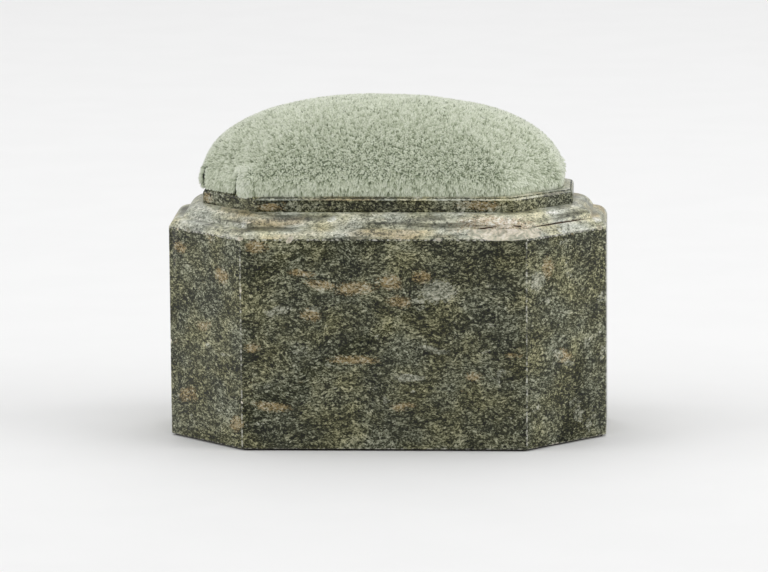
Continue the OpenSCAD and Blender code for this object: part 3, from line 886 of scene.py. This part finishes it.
class PINCUSHION_OT_plush_cover(bpy.types.Operator):
    """Makes the plush cover: puffed out by stuffing, pleated at the corners and turned in under the board"""
    bl_idname = "pincushion.plush_cover"
    bl_label = "Plush cover"

    def execute(self, context):
        look = context.scene.pin_cushion_cushion
        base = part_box("velvet_cover")[0].z
        depth = 0.0011 + look.puff * 0.7
        cover = wrapped_shell("plush_cover", depth, turned_in(
            depth, 0.0006, SILL_Z + 0.0002, WRAP_INSET + 0.0001, base + 0.0001, 0.0078), 30, 240)
        inflate(cover, 4.0, look.puff)
        apply_modifier(cover, "SUBSURF", levels=1, render_levels=1)
        gather_pleats(cover)
        apply_modifier(cover, "SOLIDIFY", thickness=0.0006, offset=-1.0)
        cover.data.materials.append(plush_backing(look))
        make_active(cover)
        bpy.ops.object.shade_smooth()
        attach(cover, "root")
        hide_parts("velvet_cover")
        return {"FINISHED"}


class PINCUSHION_OT_plush_pile(bpy.types.Operator):
    """Sets the pile of the plush, tuft by tuft, in clumps that lie down towards the lower edge"""
    bl_idname = "pincushion.plush_pile"
    bl_label = "Plush pile"

    def execute(self, context):
        look = context.scene.pin_cushion_cushion
        cover = bpy.data.objects["plush_cover"]
        rng = np.random.default_rng(5)
        root, normal, crease, fold = self.scatter(cover, look.tuft_count, 3)
        count = len(root)
        centres = self.scatter(cover, int(0.0096 / look.clump_pitch ** 2), 4)[0]
        clumps = KDTree(len(centres))
        for i, centre in enumerate(centres):
            clumps.insert(centre, i)
        clumps.balance()
        clump = np.array([clumps.find(p)[1] for p in root])

        # The pile stands up on the crown, lies down towards the lower edge, and is combed flat in one place.
        low = np.clip(1 - (root[:, 2:] - SILL_Z) / 0.007, 0, 1)
        combed = self.combed(root)
        down = np.array([[0, 0, -1.0]]) + normal * normal[:, 2:]
        lean = rng.normal(size=(len(centres), 3))[clump] * (0.20 - 0.08 * combed)
        lean += rng.normal(size=(count, 3)) * (0.20 - 0.06 * combed)
        lean += (centres[clump] - root) * (0.16 / look.clump_pitch) * (1 - 0.6 * combed)
        lean -= normal * (lean * normal).sum(1, keepdims=True)
        direction = normal + lean * np.clip(1 - 1.2 * crease, 0, 1) + down * (0.20 + 1.5 * low + 0.2 * combed)
        direction /= np.linalg.norm(direction, axis=1, keepdims=True)
        length = look.pile_length * rng.uniform(0.84, 1.12, (count, 1))
        length = length * (1 + 0.45 * low) * (1 - 0.78 * crease)
        above = np.maximum(root[:, 2:] - SILL_Z + 0.0008 + 0.0013 * fold, 0.0008)
        length = np.minimum(length, above / np.maximum(-direction[:, 2:], 0.05))

        # Each clump and each tuft has its own tone. Those in a pleat are darkened as painted shade and those on
        # a fold are lightened as a painted highlight.
        tone_and_painted_light = 0.13 + 0.36 * rng.random(len(centres))[clump] + 0.42 * rng.random(count)
        tone_and_painted_light = np.minimum(tone_and_painted_light + 0.3 * fold[:, 0], 0.98)
        tone_and_painted_light *= np.clip(1.6 - 2.2 * crease[:, 0], 0.0, 1.0)
        width = look.tuft_width * rng.uniform(0.8, 1.25, (count, 1))
        turn = rng.uniform(0, 2.1, (count, 1))
        pile = plush_pile(look)
        for name, half in (("front_left", (root[:, 1] < 0) & (root[:, 0] < CUSHION_X)),
                           ("front_right", (root[:, 1] < 0) & (root[:, 0] >= CUSHION_X)),
                           ("back_left", (root[:, 1] >= 0) & (root[:, 0] < CUSHION_X)),
                           ("back_right", (root[:, 1] >= 0) & (root[:, 0] >= CUSHION_X))):
            self.make_tufts(f"plush_pile_{name}", (root - normal * 0.0003)[half], normal[half],
                            direction[half], length[half], width[half], tone_and_painted_light[half], turn[half], pile)
        return {"FINISHED"}

    @staticmethod
    def combed(p):
        """1 on the front left cut corner, where the pile has been combed smooth, and 0 away from it."""
        across = (-(p[:, 0] - CUSHION_X) - p[:, 1]) / math.sqrt(2)
        beside = ((p[:, 0] - CUSHION_X + 0.0463) - (p[:, 1] + 0.0181)) / math.sqrt(2)
        return (np.clip(1 - (beside / 0.0125) ** 4, 0, 1) * np.clip((across - 0.037) / 0.004, 0, 1))[:, None]

    @staticmethod
    def scatter(cover, count, seed):
        """Places spread evenly over the outside of the cover above the rim, with their normals and marks."""
        rng = np.random.default_rng(seed)
        cover.data.calc_loop_triangles()
        points = np.array([v.co for v in cover.data.vertices])
        smooth = np.array([v.normal for v in cover.data.vertices])
        index = np.array([t.vertices[:] for t in cover.data.loop_triangles])
        corners = points[index]
        flat = np.cross(corners[:, 1] - corners[:, 0], corners[:, 2] - corners[:, 0])
        area = np.linalg.norm(flat, axis=1)
        flat = flat / np.maximum(area, 1e-12)[:, None]
        middle = corners.mean(axis=1)
        outside = np.einsum("ij,ij->i", flat, middle - np.array([CUSHION_X, 0, SILL_Z - 0.02])) > 0
        edge = np.maximum(np.abs(middle[:, 0] - CUSHION_X) / (HALF_W - SWELL_INSET),
                          np.abs(middle[:, 1]) / (HALF_D - SWELL_INSET))
        wanted = outside & ((middle[:, 2] > SILL_Z + 0.0012) | (
            (edge > 0.5) & (middle[:, 2] > SILL_Z - 0.0014) & (flat[:, 2] > -0.9)))
        chance = np.where(wanted, area, 0.0)
        reached = np.cumsum(chance)
        picked = np.searchsorted(reached, (np.arange(count) + rng.random(count)) * (reached[-1] / count))
        a, b = rng.random((count, 1)), rng.random((count, 1))
        a, b = np.where(a + b > 1, 1 - a, a), np.where(a + b > 1, 1 - b, b)
        share = np.stack([1 - a - b, a, b], axis=1)
        normals = (smooth[index[picked]] * share).sum(1)
        marks = []
        for name in ("crease", "fold"):
            values = np.zeros(len(points))
            cover.data.attributes[name].data.foreach_get("value", values)
            marks.append((values[index[picked]][:, :, None] * share).sum(1))
        normals /= np.linalg.norm(normals, axis=1, keepdims=True)
        return [(corners[picked] * share).sum(1), normals] + marks

    @staticmethod
    def make_tufts(name, root, normal, direction, length, width, tone_and_painted_light, turn, material):
        """One piece of many closed, blunt, three-sided tufts, each bent over towards its tip."""
        count = len(root)
        across = np.cross(direction, np.array([0.31, 0.87, 0.38]))
        across /= np.linalg.norm(across, axis=1, keepdims=True)
        beside = np.cross(direction, across)
        bend = normal * 0.35 + direction * 0.65
        shoulder = root + bend / np.linalg.norm(bend, axis=1, keepdims=True) * length * 0.72
        spokes = [across * np.cos(turn + 2 * math.pi * k / 3) + beside * np.sin(turn + 2 * math.pi * k / 3)
                  for k in range(3)]
        rings = [centre + spoke * radius * width for centre, radius in ((root, 0.50), (shoulder, 0.46))
                 for spoke in spokes]
        points = np.stack(rings + [shoulder + direction * length * 0.28], axis=1)
        # Corner by corner: the foot, then each side as a square and a triangle up to the tip.
        loops, heights = [2, 1, 0], [0.01, 0.01, 0.03]
        for k in range(3):
            n = (k + 1) % 3
            loops += [k, n, 3 + n, 3 + k, 3 + k, 3 + n, 6]
            heights += [0.02, 0.02, 0.72, 0.72, 0.72, 0.72, 0.99]
        sizes = np.tile([3] + [4, 3] * 3, count)
        mesh = bpy.data.meshes.new(name)
        mesh.vertices.add(count * 7)
        mesh.vertices.foreach_set("co", points.ravel())
        mesh.loops.add(count * len(loops))
        mesh.loops.foreach_set("vertex_index", (np.arange(count)[:, None] * 7 + np.array(loops)).ravel())
        mesh.polygons.add(len(sizes))
        mesh.polygons.foreach_set("loop_start", np.concatenate([[0], np.cumsum(sizes)[:-1]]))
        mesh.polygons.foreach_set("use_smooth", np.ones(len(sizes), bool))
        layer = mesh.uv_layers.new(name="OFBake")
        aside = np.tile(np.linspace(0, 0.0015, len(loops)), (count, 1))
        uv = np.stack([np.clip(tone_and_painted_light, 0.002, 0.996)[:, None] + aside, np.tile(heights, (count, 1))], axis=2)
        layer.data.foreach_set("uv", uv.astype(np.float32).ravel())
        mesh.update()
        # Close-set fibres pass light on to each other, so a tuft is shaded more as plush than as a thread.
        shading = np.stack([normal * 0.8 + spoke * 0.45 for spoke in spokes + spokes] + [normal], axis=1)
        shading /= np.linalg.norm(shading, axis=2, keepdims=True)
        mesh.normals_split_custom_set_from_vertices(shading.reshape(-1, 3))
        mesh.materials.append(material)
        piece = bpy.data.objects.new(name, mesh)
        bpy.context.scene.collection.objects.link(piece)
        piece.visible_shadow = False
        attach(piece, "root")


class PINCUSHION_OT_inside(bpy.types.Operator):
    """Makes the wadding and its calico lining, and finishes the board, the glue and the tacks"""
    bl_idname = "pincushion.inside"
    bl_label = "Inside pieces"

    def execute(self, context):
        for node_name, material in (("glue_bed", hide_glue()), ("cushion_board", sawn_pine())):
            dress_node(node_name, material)
        steel = blued_steel()
        dress_node("lining_tacks", steel)
        dress_node("cover_tacks", steel)

        # The wadding is a domed lump on the board, and the calico is stretched over it and turned in.
        depth, (low, high) = 0.0037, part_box("stuffing")
        wadding = wrapped_shell("wool_wadding", depth, [
            (SWELL_INSET + depth, SILL_Z + 0.0014), (0.0166, SILL_Z + 0.0014), (0.0166, low.z),
            (0.03, low.z)], 24, 120, closed=True)
        gather_pleats(wadding)
        wadding.data.materials.append(wool_wadding())
        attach(wadding, "root")
        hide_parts("stuffing")

        depth, low = 0.0031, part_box("calico_lining")[0]
        calico = wrapped_shell("calico_cloth", depth, turned_in(
            depth, 0.0, SILL_Z + 0.00095, 0.01615, low.z, 0.013), 24, 120)
        gather_pleats(calico)
        apply_modifier(calico, "SOLIDIFY", thickness=0.0003, offset=-1.0)
        calico.data.materials.append(unbleached_calico())
        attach(calico, "root")
        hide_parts("calico_lining")
        return {"FINISHED"}


# ---- Stage -----------------------------------------------------------------

class PINCUSHION_OT_stage(bpy.types.Operator):
    """Sets the pale floor, the soft studio lights and the camera"""
    bl_idname = "pincushion.stage"
    bl_label = "Stage"

    def execute(self, context):
        look = context.scene.pin_cushion_stage
        deselect_all()
        bpy.ops.mesh.primitive_plane_add(size=14.0)
        floor = context.object
        floor.name = "floor"
        paper, tree, shader, in_mm = new_material("matt_paper")
        tooth = add_node(tree, "TexNoise", {"Vector": in_mm, "Scale": 0.03, "Detail": 3.0}).outputs["Fac"]
        colour = add_node(tree, "ValToRGB", {0: tooth}, stops=(
            (0.4, "#EDEDED"), (0.6, look.floor_colour))).outputs[0]
        finish_shader(tree, shader, colour, Roughness=0.8, Specular_IOR_Level=0.2)
        floor.data.materials.append(paper)

        for name, place, width, depth, power, target in (
                ("overhead", (0, 1.5, 1.5), 2.6, 4.6, look.overhead, (0, 1.5, 0)),
                ("key", (0, 0.0, 0.85), 0.8, 0.5, look.key, (0, 0, 0)),
                ("left", (-1.5, -0.3, 0.7), 1.4, 1.0, look.left, (0, 0, 0.05)),
                ("right", (1.5, -0.3, 0.7), 1.4, 1.0, look.right, (0, 0, 0.05))):
            light = bpy.data.lights.new(name, "AREA")
            light.shape = "RECTANGLE"
            light.size, light.size_y, light.energy = width, depth, power
            lamp = bpy.data.objects.new(name, light)
            lamp.location = place
            lamp.rotation_euler = (Vector(target) - Vector(place)).to_track_quat("-Z", "Y").to_euler()
            context.scene.collection.objects.link(lamp)

        room = bpy.data.worlds.new("white_room")
        room.use_nodes = True
        room.node_tree.nodes["Background"].inputs["Color"].default_value = (1, 1, 1, 1)
        room.node_tree.nodes["Background"].inputs["Strength"].default_value = look.surroundings
        context.scene.world = room
        context.scene.view_settings.view_transform = "Standard"

        a, e = look.azimuth, look.elevation
        back = Vector((math.sin(a) * math.cos(e), -math.cos(a) * math.cos(e), math.sin(e)))
        right = Vector((math.cos(a), math.sin(a), 0))
        up = back.cross(right)
        right, up = (right * math.cos(look.roll) + up * math.sin(look.roll),
                     up * math.cos(look.roll) - right * math.sin(look.roll))
        lens = bpy.data.cameras.new("camera")
        lens.lens, lens.sensor_width = look.focal_length, 36.0
        lens.clip_start, lens.clip_end = 0.1, 30.0
        camera = bpy.data.objects.new("camera", lens)
        camera.matrix_world = Matrix.Translation(Vector(VIEW_CENTRE) + back * look.distance) @ Matrix(
            (right, up, back)).transposed().to_4x4()
        context.scene.collection.objects.link(camera)
        context.scene.camera = camera
        return {"FINISHED"}


# ---- Panel and registration ------------------------------------------------

OPERATORS = (PINCUSHION_OT_stage, PINCUSHION_OT_stone_block, PINCUSHION_OT_base_felt, PINCUSHION_OT_inside,
             PINCUSHION_OT_plush_cover, PINCUSHION_OT_plush_pile)


class PINCUSHION_PT_panel(bpy.types.Panel):
    """Lists the pieces of the pin cushion and their settings"""
    bl_idname = "PINCUSHION_PT_panel"
    bl_label = "Pin cushion"
    bl_space_type = "VIEW_3D"
    bl_region_type = "UI"
    bl_category = "Pin cushion"

    def draw(self, context):
        for operator in OPERATORS:
            self.layout.operator(operator.bl_idname)
        for settings in (context.scene.pin_cushion_stone, context.scene.pin_cushion_cushion,
                         context.scene.pin_cushion_stage):
            box = self.layout.box()
            for name in settings.__annotations__:
                box.prop(settings, name)


CLASSES = (StoneSettings, CushionSettings, StageSettings) + OPERATORS + (PINCUSHION_PT_panel,)


def register():
    for cls in CLASSES:
        bpy.utils.register_class(cls)
    bpy.types.Scene.pin_cushion_stone = bpy.props.PointerProperty(type=StoneSettings)
    bpy.types.Scene.pin_cushion_cushion = bpy.props.PointerProperty(type=CushionSettings)
    bpy.types.Scene.pin_cushion_stage = bpy.props.PointerProperty(type=StageSettings)


def unregister():
    del bpy.types.Scene.pin_cushion_stage
    del bpy.types.Scene.pin_cushion_cushion
    del bpy.types.Scene.pin_cushion_stone
    for cls in reversed(CLASSES):
        bpy.utils.unregister_class(cls)


def main():
    """Makes the whole scene."""
    register()
    bpy.ops.pincushion.stage()
    bpy.ops.pincushion.stone_block()
    bpy.ops.pincushion.base_felt()
    bpy.ops.pincushion.inside()
    bpy.ops.pincushion.plush_cover()
    bpy.ops.pincushion.plush_pile()


if __name__ == "__main__":
    main()
